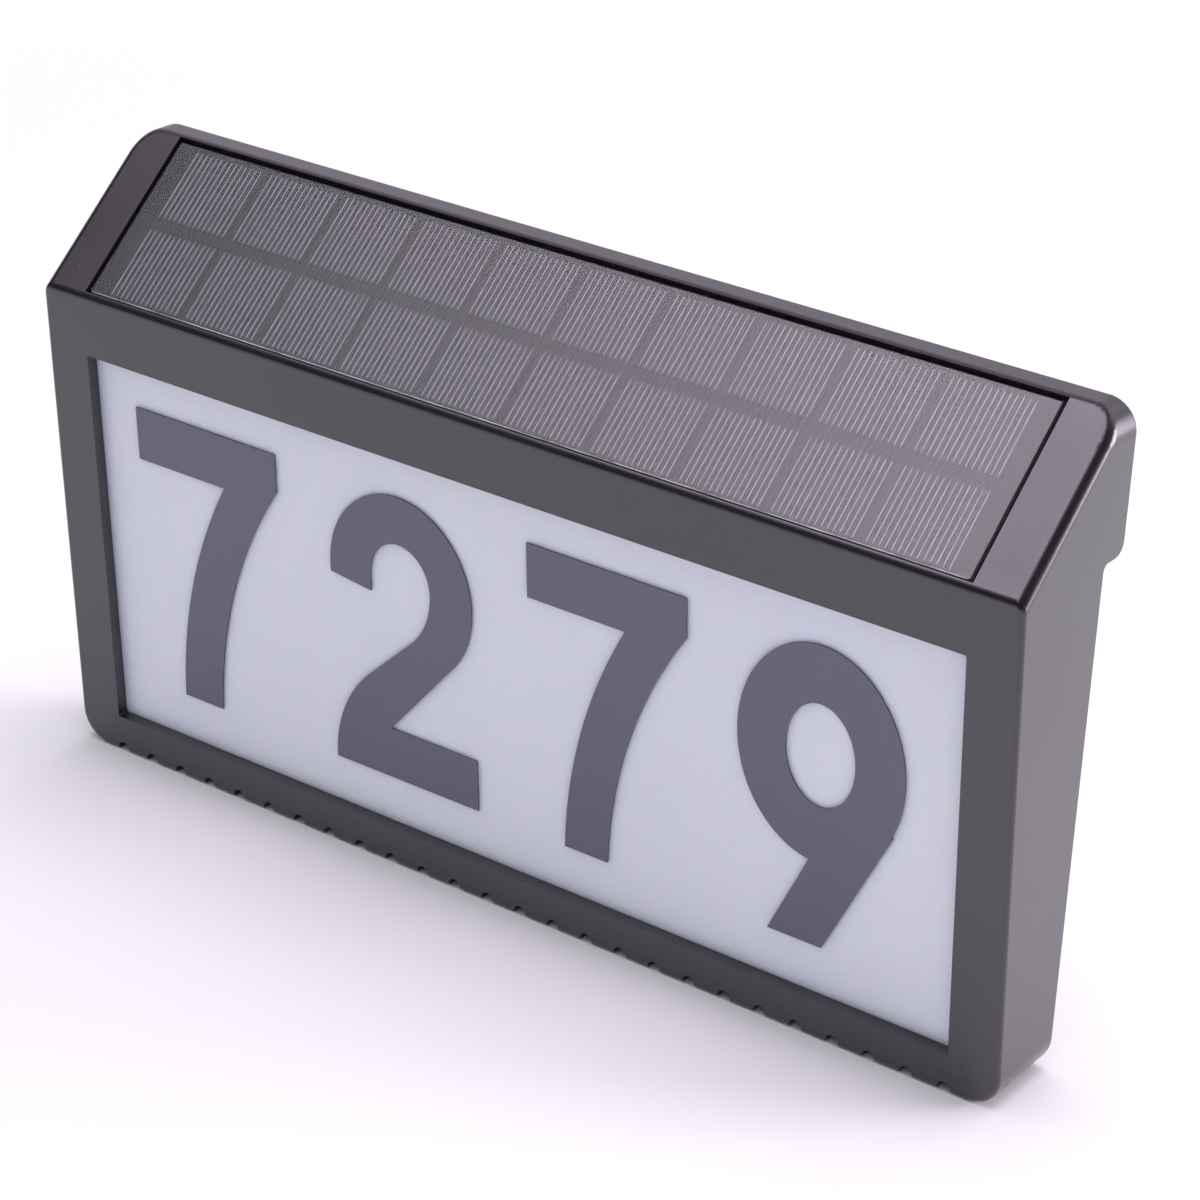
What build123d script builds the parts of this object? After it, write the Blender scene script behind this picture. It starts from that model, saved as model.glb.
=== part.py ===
from build123d import *
import math
import os

# Illuminated house number sign, in millimetres.
# +Z up, the front looks along -Y and the wall is at +Y. The origin is the centre of the
# box round the sign, at its underside.

# ---- driving dimensions -------------------------------------------------------------

body_width = 268.0
body_height = 156.0
body_depth = 41.4  # wall plane to the front top edge
base_depth = 23.0  # depth of the underside
step_depth = 7.9  # the lower back stands this far off the wall
step_drop = 34.3  # top to the step in the back
edge_drop = 31.2  # top to the front top edge
strip_depth = 6.4  # level strip behind the sloped seat
edge_radius = 1.7
slope_edge_radius = 2.5  # round the sloped face
front_edge_radius = 1.2  # round the leaning front
rear_edge_radius = 0.9
base_corner_radius = 8.0
top_corner_radius = 7.0
step_outer_radius = 3.6
step_inner_radius = 1.2

wall = 2.6
base_wall = 3.5
bezel_wall = 3.0
window_side = 12.7  # side wall's outside to the window
window_drop = 15.4  # front top edge to the window
window_sill = 9.95  # underside to the window, along the front
window_corner_radius = 0.5

groove_pitch = 9.64
groove_width = 3.3
groove_height = 2.5
groove_lip_radius = 0.5

# solar panel in its sloped seat
seat_floor = 2.0
seat_front = 1.5  # front top edge to the seat
seat_back = 0.5  # seat to the back top edge
panel_side_gap = 0.9
panel_top_gap = 1.1
panel_front_gap = 0.4
panel_below_face = 0.25
backing_thickness = 1.2
cell_thickness = 0.25
cell_void = 0.05  # between a cell and the resin round it
resin_over_cells = 0.7
resin_edge_radius = 0.35
cell_rows = 2
cell_width = 21.6
cell_length = 19.4
column_pitch = 23.26
row_pitch = 22.3

# numerals, standing on the opal panel: 76.2 high, in a row that was laid by hand
numeral_thickness = 0.5
numeral_foot_gap = 12.6  # lower edge of the window to the foot of a numeral
numeral_head_gap = 11.1  # head of a numeral to the upper edge of the window
numeral_left_gap = 12.1  # left edge of the window to the first numeral
numeral_right_gap = 14.7  # last numeral to the right edge of the window
numeral_shifts = (0, 0.3, 1.0, 0)  # each numeral's distance to the right of an even row
drawn_height = 100  # the outlines below are drawn to this height
drawn_width = 56.0

# light box
diffuser_thickness = 2.0
diffuser_overlap = 2.0
tray_board_gap = 0.55  # back of the light box to the connectors of the control board
tray_wall = 1.4
tray_corner_radius = 2.0
ear_length = 9.0
ear_rise = 25.6  # middle of the window to an ear, up and down
ear_screw_inset = 5.2  # inside face of the side wall to the screw
led_board_end_gap = 3.3  # edge of the window to the end of an LED board
led_board_width = 6.0
led_board_thickness = 1.0
led_board_inset = 24.0  # edge of the window to the middle of an LED board
led_pitch = 19.4
led_length = 3.5
led_width = 2.8
led_height = 0.8

# rear cover
cover_inset = 0.8
cover_thickness = 2.2
cover_gap = 0.2
gasket_thickness = 0.8
gasket_margin = 0.2
ledge_width = 2.0
ledge_thickness = 2.0
throat_overlap = 0.2  # how far the opening in the ledge runs into the space before it

# screws: shank diameter, length under the head, head diameter, head height
cover_screw = (2.6, 9.0, 5.0, 1.6)
small_screw = (2.0, 5.0, 3.8, 1.4)
head_rounding = 0.45  # shares of the head height, the shank and the head
tip_chamfer = 0.3
recess_depth = 0.5
recess_span = 0.56
recess_slot = 0.13
screw_clearance = 0.05
bore_spare = 1.0
cover_boss_radius = 2.8
small_boss_radius = 2.4
boss_web_width = 1.8
side_screw_inset = 5.1  # inside face of the side wall to a cover screw
counterbore_depth = 0.9
counterbore_clearance = 0.3
lowest_screw_height = 14.0
side_screw_drop = 14.7  # step to the upper screws at the sides
top_screw_drop = 11.0  # top to the screws above the step
top_screw_inset = 22.0  # side wall's outside to the outer screws above the step

# keyhole hangers in the cover
keyhole_spacing = 150.0
keyhole_drop = 16.0  # top to the upper end of a slot
keyhole_entry_radius = 4.8
keyhole_slot_width = 4.8
keyhole_travel = 8.0
keyhole_pocket_depth = 3.4
keyhole_wall = 1.2

# battery
cell_radius = 9.2
cell_body_length = 65.0
cell_nub_radius = 2.8
cell_nub_length = 0.8
cell_edge_radius = 1.0
battery_x = 52.0
battery_cover_gap = 0.3
battery_headroom = 11.46  # inside of the sloped wall to the cell's axis
cradle_clearance = 0.3
cradle_wall = 1.3
cradle_end = 2.0
cradle_lip = 3.0  # how far the end walls reach past the cell's axis
cradle_lug_width = 9.0
cradle_lug_thickness = 1.6
cradle_lug_reach = 19.0  # the cell's axis to the end of a lug, up the slope
cradle_screw_reach = 15.6
cradle_boss_height = 3.0
cradle_boss_x = 25.0
contact_side = 11.0
contact_thickness = 0.5
spring_travel = 2.2
leaf_root = 4.95  # middle of the contact to the root of the leaf
leaf_end = 3.85  # middle of the contact to the free end of the leaf
leaf_half_width = 3.65
contact_hole_radius = 2.0

# control board
board_width = 60.0
board_height = 34.0
board_thickness = 1.6
board_x = -45.0
board_drop = 35.7  # step to the middle of the board
board_standoff = 5.2
standoff_radius = 2.5
board_hole_inset = 3.5
connector_width = 6.0
connector_depth = 4.0
connector_length = 4.6
solar_connector_shift = -19.0  # to the right of the middle of the board
battery_connector_shift = -5.0
led_connector_shift = 17.0
chip_width = 7.6
chip_depth = 1.5
chip_length = 5.0
chip_rise = 6.8  # middle of the board to the middle of the chip
inductor_shift = -15.0
inductor_radius = 3.4
inductor_height = 3.0
capacitor_radius = 2.0
capacitor_height = 3.4
capacitor_gap = 2.0

# push button
button_shift = 15.0  # to the right of the middle of the board
button_drop = 6.0  # below the middle of the board
button_radius = 5.5
button_edge_radius = 0.5
button_flange_radius = 7.0
button_flange_thickness = 0.9
button_proud = 1.2
button_travel = 0.8
button_gap = 0.2
seal_radius = 8.0
seal_thickness = 0.9
seal_clearance = 0.3
seal_seat_clearance = 0.05
button_rest_gap = 0.05
collar_width = 2.8
collar_height = 0.6
switch_side = 6.2
switch_corner_radius = 0.5
switch_height = 3.0
plunger_radius = 1.75
plunger_clearance = 0.05
plunger_engagement = 1.05

# leads
lead_radius = 0.6
lead_spacing = 2.0
lead_hole_radius = 2.6
lead_bend_radius = 3.0
lead_turn_run = 9.0  # straight run with room for a bend at each end
lead_short_run = 3.6
lead_rest_gap = 0.05

# ---- planes and derived values ------------------------------------------------------

step_height = body_height - step_drop
edge_height = body_height - edge_drop
wall_y = body_depth / 2
front_y = wall_y - body_depth
low_y = wall_y - step_depth
base_front_y = low_y - base_depth
lean = math.degrees(math.atan2(base_front_y - front_y, edge_height))
slope_run = body_depth - strip_depth
slope = math.degrees(math.atan2(edge_drop, slope_run))

lean_sin = math.sin(math.radians(lean))
lean_cos = math.cos(math.radians(lean))
slope_sin = math.sin(math.radians(slope))
slope_cos = math.cos(math.radians(slope))

edge_point = (0, front_y, edge_height)
front_plane = Plane(origin=edge_point, x_dir=(1, 0, 0), z_dir=(0, -lean_cos, -lean_sin))
slope_plane = Plane(origin=edge_point, x_dir=(1, 0, 0), z_dir=(0, -slope_sin, slope_cos))

panel_thickness = backing_thickness + cell_thickness + resin_over_cells
seat_depth = panel_thickness + panel_below_face
slope_wall = seat_depth + seat_floor
seat_length = math.hypot(edge_drop, slope_run) - seat_front - seat_back
window_width = body_width - 2 * window_side
window_height = edge_height / lean_cos - window_drop - window_sill
window_middle = -window_drop - window_height / 2
groove_count = int((body_width - 2 * base_corner_radius) / groove_pitch)
opening_inset = cover_inset + cover_thickness
ledge_inset = opening_inset + gasket_thickness
diffuser_width = window_width + 2 * diffuser_overlap
diffuser_height = window_height + 2 * diffuser_overlap
cover_inner_y = low_y - opening_inset
cover_outer_y = low_y - cover_inset
deep_inner_y = wall_y - opening_inset
deep_outer_y = wall_y - cover_inset
board_centre_height = step_height - board_drop
board_top = board_centre_height + board_height / 2
board_bottom = board_centre_height - board_height / 2
board_back_y = cover_inner_y - board_standoff
board_front_y = board_back_y - board_thickness
face_y_at_board = base_front_y - board_bottom * lean_sin / lean_cos
tray_back = (board_front_y - connector_depth - tray_board_gap - face_y_at_board) * lean_cos
tray_floor_front = tray_back - tray_wall
tray_front = bezel_wall + diffuser_thickness
battery_y = cover_inner_y - battery_cover_gap - cell_radius
battery_drop = (slope_wall + battery_headroom) / slope_cos  # straight under the sloped face
battery_height = edge_height + (battery_y - front_y) * slope_sin / slope_cos - battery_drop
battery_reach = slope_plane.to_local_coords(Vector(battery_x, battery_y, battery_height)).Y
button_x = board_x + button_shift
button_height = board_centre_height - button_drop
solar_connector_x = board_x + solar_connector_shift
battery_connector_x = board_x + battery_connector_shift
led_connector_x = board_x + led_connector_shift
far = 4 * body_width  # beyond every piece


def front_point(x, v, depth):
    """Place depth mm behind the leaning front face, v mm up it from its top edge."""
    return front_plane.from_local_coords(Vector(x, v, -depth))


def slope_point(x, v, depth):
    """Place depth mm under the sloped face, v mm up it from the front top edge."""
    return slope_plane.from_local_coords(Vector(x, v, -depth))


def rear_line(inset, top, bottom):
    """The stepped back, seen from the side, moved inwards by inset."""
    return [
        (wall_y - inset, top),
        (wall_y - inset, step_height + inset),
        (low_y - inset, step_height + inset),
        (low_y - inset, bottom),
    ]


def front_outline(side_gap, base_gap, top_gap):
    """Outline seen from the front, moved inwards, with its rounded corners."""
    height = body_height - base_gap - top_gap
    with BuildSketch(Plane.XZ) as outline:
        with Locations((0, base_gap + height / 2)):
            Rectangle(body_width - 2 * side_gap, height)
        corners = outline.vertices().group_by(Axis.Y)
        fillet(corners[0], base_corner_radius - side_gap)
        corners = outline.vertices().group_by(Axis.Y)
        fillet(corners[-1], top_corner_radius - side_gap)
    return outline.sketch


def room(front_depth, slope_depth, rear_inset, side_gap, base_gap, top_gap):
    """Space inside the body between planes that lie parallel to its outer faces."""
    with BuildPart() as space:
        with BuildSketch(front_plane.offset(-front_depth)):
            Rectangle(far, far)
        extrude(amount=-2 * body_depth)
        with BuildSketch(slope_plane.offset(-slope_depth)):
            Rectangle(far, far)
        extrude(amount=-far, mode=Mode.INTERSECT)
        with BuildSketch(Plane.YZ):
            with BuildLine():
                Polyline(
                    (-body_depth, far),
                    *rear_line(rear_inset, far, -far),
                    (-body_depth, -far),
                    close=True,
                )
            make_face()
        extrude(amount=far, both=True, mode=Mode.INTERSECT)
        outline = front_outline(side_gap, base_gap, top_gap)
        extrude(outline, amount=far, both=True, mode=Mode.INTERSECT)
    return space.part


def stepped_sheet(outer_inset, inner_inset, side_gap, base_gap, top_gap):
    """Sheet that follows the stepped back between two insets."""
    with BuildPart() as sheet:
        with BuildSketch(Plane.YZ):
            with BuildLine():
                Polyline(
                    *rear_line(outer_inset, far, -far),
                    *reversed(rear_line(inner_inset, far, -far)),
                    close=True,
                )
            make_face()
        extrude(amount=far, both=True)
        outline = front_outline(side_gap, base_gap, top_gap)
        extrude(outline, amount=far, both=True, mode=Mode.INTERSECT)
    return sheet.part


def screw(spec):
    """Pan head screw with a cross recess, pointing down -Z from its seat at z = 0."""
    shank, length, head, head_height = spec
    with BuildPart() as body:
        Cylinder(head / 2, head_height, align=(Align.CENTER, Align.CENTER, Align.MIN))
        fillet(body.edges().sort_by(Axis.Z)[-1], head_height * head_rounding)
        Cylinder(shank / 2, length, align=(Align.CENTER, Align.CENTER, Align.MAX))
        chamfer(body.edges().sort_by(Axis.Z)[0], shank * tip_chamfer)
        with BuildSketch(Plane.XY.offset(head_height)):
            Rectangle(head * recess_span, head * recess_slot)
            Rectangle(head * recess_slot, head * recess_span)
        extrude(amount=-head_height * recess_depth, mode=Mode.SUBTRACT)
    return body.part


# ---- housing ------------------------------------------------------------------------

side_screw_x = body_width / 2 - wall - side_screw_inset
ear_screw_x = body_width / 2 - wall - ear_screw_inset
top_screw_x = body_width / 2 - top_screw_inset
highest_side_screw = step_height - side_screw_drop
middle_side_screw = (lowest_screw_height + highest_side_screw) / 2
side_screw_heights = (lowest_screw_height, middle_side_screw, highest_side_screw)
cover_screw_places = [(side * side_screw_x, z) for side in (-1, 1) for z in side_screw_heights]
top_screw_places = [(x, body_height - top_screw_drop) for x in (-top_screw_x, 0, top_screw_x)]
ear_places = [
    (side * ear_screw_x, window_middle + rise) for side in (-1, 1) for rise in (-ear_rise, ear_rise)
]
cradle_screw_places = [
    (battery_x + side * cradle_boss_x, battery_reach + cradle_screw_reach) for side in (-1, 1)
]
solar_lead_x = solar_connector_x
solar_lead_v = seat_front + seat_length / 2
ledge_gap = wall + ledge_width
ledge_front = ledge_inset + ledge_thickness
throat_inset = ledge_front + throat_overlap
cover_seat = Plane.XZ.offset(-cover_inner_y)
deep_seat = Plane.XZ.offset(-deep_inner_y)
ear_seat = front_plane.offset(-tray_floor_front)
cradle_seat = slope_plane.offset(-slope_wall - cradle_boss_height)

with BuildPart() as hollow:
    add(room(bezel_wall, slope_wall, ledge_front, wall, base_wall, wall))
    # throat inside the ledge, and the pocket of the rear cover
    add(stepped_sheet(-body_depth, throat_inset, ledge_gap, base_wall + ledge_width, ledge_gap))
    add(stepped_sheet(-body_depth, ledge_inset, wall, base_wall, wall))
    # bosses left standing in it
    for seat_plane, places, radius in (
        (cover_seat, cover_screw_places, cover_boss_radius),
        (deep_seat, top_screw_places, cover_boss_radius),
        (ear_seat, ear_places, small_boss_radius),
        (cradle_seat, cradle_screw_places, small_boss_radius),
    ):
        with BuildSketch(seat_plane):
            with Locations(places):
                Circle(radius)
        extrude(amount=2 * body_depth, mode=Mode.SUBTRACT)
    # webs from the side bosses to the walls
    with BuildSketch(Plane.XZ.offset(ledge_front - low_y)):
        for side in (-1, 1):
            with Locations([(side * (side_screw_x + side_screw_inset / 2), z) for z in side_screw_heights]):
                Rectangle(side_screw_inset, boss_web_width)
    extrude(amount=2 * body_depth, mode=Mode.SUBTRACT)

with BuildSketch() as groove:
    with BuildLine():
        half_groove = groove_width / 2
        mouth = half_groove + groove_lip_radius
        RadiusArc((-mouth, 0), (-half_groove, groove_lip_radius), -groove_lip_radius)
        ThreePointArc(
            (-half_groove, groove_lip_radius), (0, groove_height), (half_groove, groove_lip_radius)
        )
        RadiusArc((half_groove, groove_lip_radius), (mouth, 0), -groove_lip_radius)
        Polyline((mouth, 0), (mouth, -groove_height), (-mouth, -groove_height), (-mouth, 0))
    make_face()

with BuildPart() as housing:
    with BuildSketch(Plane.YZ) as profile:
        with BuildLine():
            Polyline(
                (base_front_y, 0),
                (front_y, edge_height),
                (wall_y - strip_depth, body_height),
                *rear_line(0, body_height, 0),
                close=True,
            )
        make_face()
        fillet(profile.vertices().sort_by_distance((wall_y, step_height))[0], step_outer_radius)
        fillet(profile.vertices().sort_by_distance((low_y, step_height))[0], step_inner_radius)
    extrude(amount=body_width / 2, both=True)
    extrude(front_outline(0, 0, 0), amount=body_depth, both=True, mode=Mode.INTERSECT)
    slope_face = housing.faces().filter_by(lambda f: f.normal_at().dot(slope_plane.z_dir) > 0.999)
    fillet(slope_face.edges(), slope_edge_radius)
    front_face = housing.faces().filter_by(lambda f: f.normal_at().dot(front_plane.z_dir) > 0.999)
    front_rim = front_face.edges().sort_by(Axis.Z)[:-1]
    fillet(front_rim, front_edge_radius)
    back_faces = housing.faces().filter_by(
        lambda f: abs(f.center().X) < wall
        and f.center().Y > low_y - wall
        and wall < f.center().Z < body_height - wall
        and f.normal_at().dot(slope_plane.z_dir) < 0.9
    )
    back_edges = back_faces.edges()
    rim = [e for e in back_edges if sum(e.is_same(other) for other in back_edges) == 1]
    fillet(ShapeList(rim), rear_edge_radius)
    add(hollow.part, mode=Mode.SUBTRACT)
    # window
    with BuildSketch(front_plane.offset(edge_radius)):
        with Locations((0, window_middle)):
            RectangleRounded(window_width, window_height, window_corner_radius)
    extrude(amount=-edge_radius - 2 * bezel_wall, mode=Mode.SUBTRACT)
    # seat of the solar panel
    with BuildSketch(slope_plane.offset(edge_radius)):
        with Locations((0, seat_front + seat_length / 2)):
            Rectangle(window_width, seat_length)
    extrude(amount=-edge_radius - seat_depth, mode=Mode.SUBTRACT)
    with BuildSketch(slope_plane):
        with Locations((solar_lead_x, solar_lead_v)):
            Circle(lead_hole_radius)
    extrude(amount=-2 * slope_wall, mode=Mode.SUBTRACT)
    # grooves across the underside
    with BuildSketch(Plane.XZ):
        with GridLocations(groove_pitch, 1, groove_count, 1):
            add(groove.sketch)
    extrude(amount=body_depth, both=True, mode=Mode.SUBTRACT)
    # screw holes in the bosses
    cover_bite = cover_screw[1] - cover_thickness + counterbore_depth
    for seat_plane, places, spec, bite in (
        (cover_seat, cover_screw_places, cover_screw, cover_bite),
        (deep_seat, top_screw_places, cover_screw, cover_bite),
        (ear_seat, ear_places, small_screw, small_screw[1] - tray_wall),
        (cradle_seat, cradle_screw_places, small_screw, small_screw[1] - cradle_lug_thickness),
    ):
        with BuildSketch(seat_plane):
            with Locations(places):
                Circle(spec[0] / 2 + screw_clearance)
        extrude(amount=bite + bore_spare, mode=Mode.SUBTRACT)
housing.part.label = "housing"


# ---- front: opal panel and numerals -------------------------------------------------

with BuildPart() as diffuser_panel:
    with BuildSketch(front_plane.offset(-bezel_wall)):
        with Locations((0, window_middle)):
            RectangleRounded(diffuser_width, diffuser_height, tray_corner_radius)
    extrude(amount=-diffuser_thickness)
diffuser_panel.part.label = "diffuser_panel"

# The outlines of the numerals are drawn with the foot at 0 and the head at drawn_height.
with BuildSketch() as seven:
    with BuildLine():
        Polyline((28.1, 0), (12.3, 0))
        ThreePointArc((12.3, 0), (18.5, 41), (35.2, 82))
        Polyline((35.2, 82), (0, 82), (0, 100), (56.7, 100), (56.7, 87))
        ThreePointArc((56.7, 87), (37.3, 48.4), (28.1, 0))
    make_face()

with BuildSketch() as two:
    with BuildLine():
        Polyline((0, 0), (55.9, 0), (55.9, 17.8), (22.3, 17.8), (47.9, 47.8))
        TangentArc((55.5, 69.5), (47.9, 47.8), tangent=(0, -1))
        EllipticalCenterArc((28.3, 69.5), 27.2, 30.5, start_angle=0, arc_size=180)
        Polyline((1.1, 69.5), (1.1, 66.7), (16.8, 64.7), (16.8, 70.3))
        EllipticalCenterArc((28.3, 70.3), 11.5, 13.6, start_angle=0, arc_size=180)
        TangentArc((39.8, 70.3), (30.8, 50.1), tangent=(0, -1))
        Line((30.8, 50.1), (15.7, 35.7))
        TangentArc((0, 0), (15.7, 35.7), tangent=(0, 1))
    make_face()

with BuildSketch() as nine:
    with Locations((28, 64.3)):
        Ellipse(28, 35.7)
    with BuildLine():
        Polyline((11.2, 0), (29.8, 0), (52.6, 46), (33.1, 46), close=True)
    make_face()
    with Locations((28, 64.4)):
        Ellipse(11.7, 16.9, mode=Mode.SUBTRACT)


numeral_height = window_height - numeral_foot_gap - numeral_head_gap
numeral_width = numeral_height * drawn_width / drawn_height
numeral_row = window_width - numeral_left_gap - numeral_right_gap - numeral_width
numeral_pitch = numeral_row / (len(numeral_shifts) - 1)


def numeral(outline, place):
    """Flat numeral on the opal panel, at this place of the row."""
    left = numeral_left_gap - window_width / 2 + place * numeral_pitch + numeral_shifts[place]
    with BuildPart() as figure:
        with BuildSketch(front_plane.offset(-bezel_wall)):
            with Locations((left, window_middle - window_height / 2 + numeral_foot_gap)):
                add(scale(outline.sketch, by=numeral_height / drawn_height, mode=Mode.PRIVATE))
        extrude(amount=numeral_thickness)
    return figure.part


# ---- solar panel --------------------------------------------------------------------

panel_width = window_width - 2 * panel_side_gap
panel_length = seat_length - panel_front_gap - panel_top_gap
panel_v = seat_front + panel_front_gap + panel_length / 2
cell_columns = int(panel_width / column_pitch)

with BuildPart() as solar_backing:
    with BuildSketch(slope_plane.offset(-seat_depth)):
        with Locations((0, panel_v)):
            Rectangle(panel_width, panel_length)
    extrude(amount=backing_thickness)
solar_backing.part.label = "solar_backing"

with BuildPart() as solar_cells:
    with BuildSketch(slope_plane.offset(backing_thickness - seat_depth)):
        with Locations((0, panel_v)):
            with GridLocations(column_pitch, row_pitch, cell_columns, cell_rows):
                Rectangle(cell_width, cell_length)
    extrude(amount=cell_thickness)
solar_cells.part.label = "solar_cells"

with BuildPart() as solar_cover:
    with BuildSketch(slope_plane.offset(backing_thickness - seat_depth)):
        with Locations((0, panel_v)):
            Rectangle(panel_width, panel_length)
    extrude(amount=cell_thickness + resin_over_cells)
    resin_top = solar_cover.faces().filter_by(lambda f: f.normal_at().dot(slope_plane.z_dir) > 0.9)
    fillet(resin_top.edges(), resin_edge_radius)
    with BuildSketch(slope_plane.offset(backing_thickness - seat_depth)):
        with Locations((0, panel_v)):
            with GridLocations(column_pitch, row_pitch, cell_columns, cell_rows):
                Rectangle(cell_width + 2 * cell_void, cell_length + 2 * cell_void)
    extrude(amount=cell_thickness + cell_void, mode=Mode.SUBTRACT)
solar_cover.part.label = "solar_cover"

# ---- light box ----------------------------------------------------------------------

led_board_length = window_width - 2 * led_board_end_gap
led_board_rise = window_height / 2 - led_board_inset
led_board_vs = (window_middle + led_board_rise, window_middle - led_board_rise)
led_count = int(led_board_length / led_pitch)
ear_end_x = body_width / 2 - ledge_gap - cover_gap

with BuildPart() as light_tray:
    with BuildSketch(front_plane.offset(-tray_front)):
        with Locations((0, window_middle)):
            RectangleRounded(diffuser_width, diffuser_height, tray_corner_radius)
    extrude(amount=tray_front - tray_back)
    tray_inner_width = diffuser_width - 2 * tray_wall
    tray_inner_height = diffuser_height - 2 * tray_wall
    with BuildSketch(front_plane.offset(-tray_front)):
        with Locations((0, window_middle)):
            RectangleRounded(tray_inner_width, tray_inner_height, tray_corner_radius / 2)
    extrude(amount=tray_front - tray_floor_front, mode=Mode.SUBTRACT)
    ear_root_x = diffuser_width / 2 - tray_corner_radius
    ear_middle_x = (ear_root_x + ear_end_x) / 2
    with BuildSketch(ear_seat):
        with Locations((0, window_middle)):
            with GridLocations(2 * ear_middle_x, 2 * ear_rise, 2, 2):
                Rectangle(ear_end_x - ear_root_x, ear_length)
    extrude(amount=-tray_wall)
    with BuildSketch(ear_seat):
        with Locations(ear_places):
            Circle(small_screw[0] / 2 + screw_clearance)
        with Locations((led_connector_x, led_board_vs[1])):
            Circle(lead_hole_radius)
    extrude(amount=-tray_wall, mode=Mode.SUBTRACT)
light_tray.part.label = "light_tray"


def led_board(v):
    """Board of one row of LEDs, on the floor of the light box."""
    with BuildPart() as board:
        with BuildSketch(ear_seat):
            with Locations((0, v)):
                Rectangle(led_board_length, led_board_width)
        extrude(amount=led_board_thickness)
    return board.part


led_strip_upper = led_board(led_board_vs[0])
led_strip_lower = led_board(led_board_vs[1])

with BuildPart() as led_chips:
    with BuildSketch(front_plane.offset(led_board_thickness - tray_floor_front)):
        with Locations((0, window_middle)):
            with GridLocations(led_pitch, 2 * led_board_rise, led_count, 2):
                Rectangle(led_length, led_width)
    extrude(amount=led_height)
led_chips.part.label = "led_chips"

# ---- rear cover ---------------------------------------------------------------------

board_hole_x = board_width / 2 - board_hole_inset
board_hole_z = board_height / 2 - board_hole_inset
board_screw_places = [
    (board_x + across_board, board_centre_height + up_board)
    for across_board in (-board_hole_x, board_hole_x)
    for up_board in (-board_hole_z, board_hole_z)
]
keyhole_height = body_height - keyhole_drop
keyhole_middle = keyhole_height - keyhole_travel / 2
keyhole_xs = (-keyhole_spacing / 2, keyhole_spacing / 2)
keyhole_places = [(x, keyhole_middle) for x in keyhole_xs]
keyhole_entries = [(x, keyhole_height - keyhole_travel) for x in keyhole_xs]


def facing_back(x, y, z):
    """Plane that looks at the wall from this point."""
    return Plane(origin=(x, y, z), x_dir=(1, 0, 0), z_dir=(0, 1, 0))


cover_screw_planes = [facing_back(x, cover_outer_y, z) for x, z in cover_screw_places]
cover_screw_planes += [facing_back(x, deep_outer_y, z) for x, z in top_screw_places]
side_gap = wall + cover_gap
base_gap = base_wall + cover_gap

with BuildPart() as rear_cover:
    add(stepped_sheet(cover_inset, opening_inset, side_gap, base_gap, side_gap))
    with BuildSketch(cover_seat):
        with Locations(board_screw_places):
            Circle(standoff_radius)
    extrude(amount=board_standoff)
    with BuildSketch(Plane.XZ.offset(-cover_outer_y)):
        with Locations((button_x, button_height)):
            Circle(button_radius + button_gap + collar_width)
    extrude(amount=-collar_height)
    # pockets of the keyhole hangers
    with BuildSketch(deep_seat):
        with Locations(keyhole_places):
            SlotCenterToCenter(keyhole_travel, 2 * (keyhole_entry_radius + keyhole_wall), rotation=90)
    extrude(amount=keyhole_pocket_depth + keyhole_wall)
    with BuildSketch(deep_seat):
        with Locations(keyhole_places):
            SlotCenterToCenter(keyhole_travel, 2 * keyhole_entry_radius, rotation=90)
    extrude(amount=keyhole_pocket_depth, mode=Mode.SUBTRACT)
    with BuildSketch(Plane.XZ.offset(-deep_outer_y)):
        with Locations(keyhole_places):
            SlotCenterToCenter(keyhole_travel, keyhole_slot_width, rotation=90)
        with Locations(keyhole_entries):
            Circle(keyhole_entry_radius)
    extrude(amount=cover_thickness + keyhole_pocket_depth / 2, mode=Mode.SUBTRACT)
    # button hole, with the seat of its seal inside
    with BuildSketch(Plane.XZ.offset(-cover_outer_y - collar_height)):
        with Locations((button_x, button_height)):
            Circle(button_radius + button_gap)
    extrude(amount=2 * cover_thickness + collar_height, mode=Mode.SUBTRACT)
    with BuildSketch(cover_seat):
        with Locations((button_x, button_height)):
            Circle(seal_radius + seal_seat_clearance)
    extrude(amount=-seal_thickness, mode=Mode.SUBTRACT)
    with Locations(*cover_screw_planes):
        CounterBoreHole(
            cover_screw[0] / 2 + screw_clearance,
            cover_screw[2] / 2 + counterbore_clearance,
            counterbore_depth,
            depth=2 * cover_thickness,
        )
    with BuildSketch(Plane.XZ.offset(-board_back_y)):
        with Locations(board_screw_places):
            Circle(small_screw[0] / 2 + screw_clearance)
    extrude(amount=board_thickness - small_screw[1] - bore_spare, mode=Mode.SUBTRACT)
rear_cover.part.label = "rear_cover"

gasket_outer = stepped_sheet(
    opening_inset, ledge_inset, wall + gasket_margin, base_wall + gasket_margin, wall + gasket_margin
)
gasket_core = stepped_sheet(
    opening_inset - gasket_thickness,
    ledge_inset + gasket_thickness,
    ledge_gap - gasket_margin,
    base_wall + ledge_width - gasket_margin,
    ledge_gap - gasket_margin,
)
with BuildPart() as cover_gasket:
    add(gasket_outer)
    add(gasket_core, mode=Mode.SUBTRACT)
cover_gasket.part.label = "cover_gasket"

# ---- push button --------------------------------------------------------------------

flange_top_y = cover_inner_y - button_rest_gap
flange_base_y = flange_top_y - button_flange_thickness
switch_top_y = board_back_y + switch_height
button_top_y = cover_outer_y + button_proud

with BuildPart() as mode_button:
    with BuildSketch(Plane.XZ.offset(-flange_base_y)):
        with Locations((button_x, button_height)):
            Circle(button_flange_radius)
    extrude(amount=-button_flange_thickness)
    with BuildSketch(Plane.XZ.offset(-flange_top_y)):
        with Locations((button_x, button_height)):
            Circle(button_radius)
    extrude(amount=flange_top_y - button_top_y)
    fillet(mode_button.edges().sort_by(Axis.Y)[-1], button_edge_radius)
mode_button.part.label = "mode_button"

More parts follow.
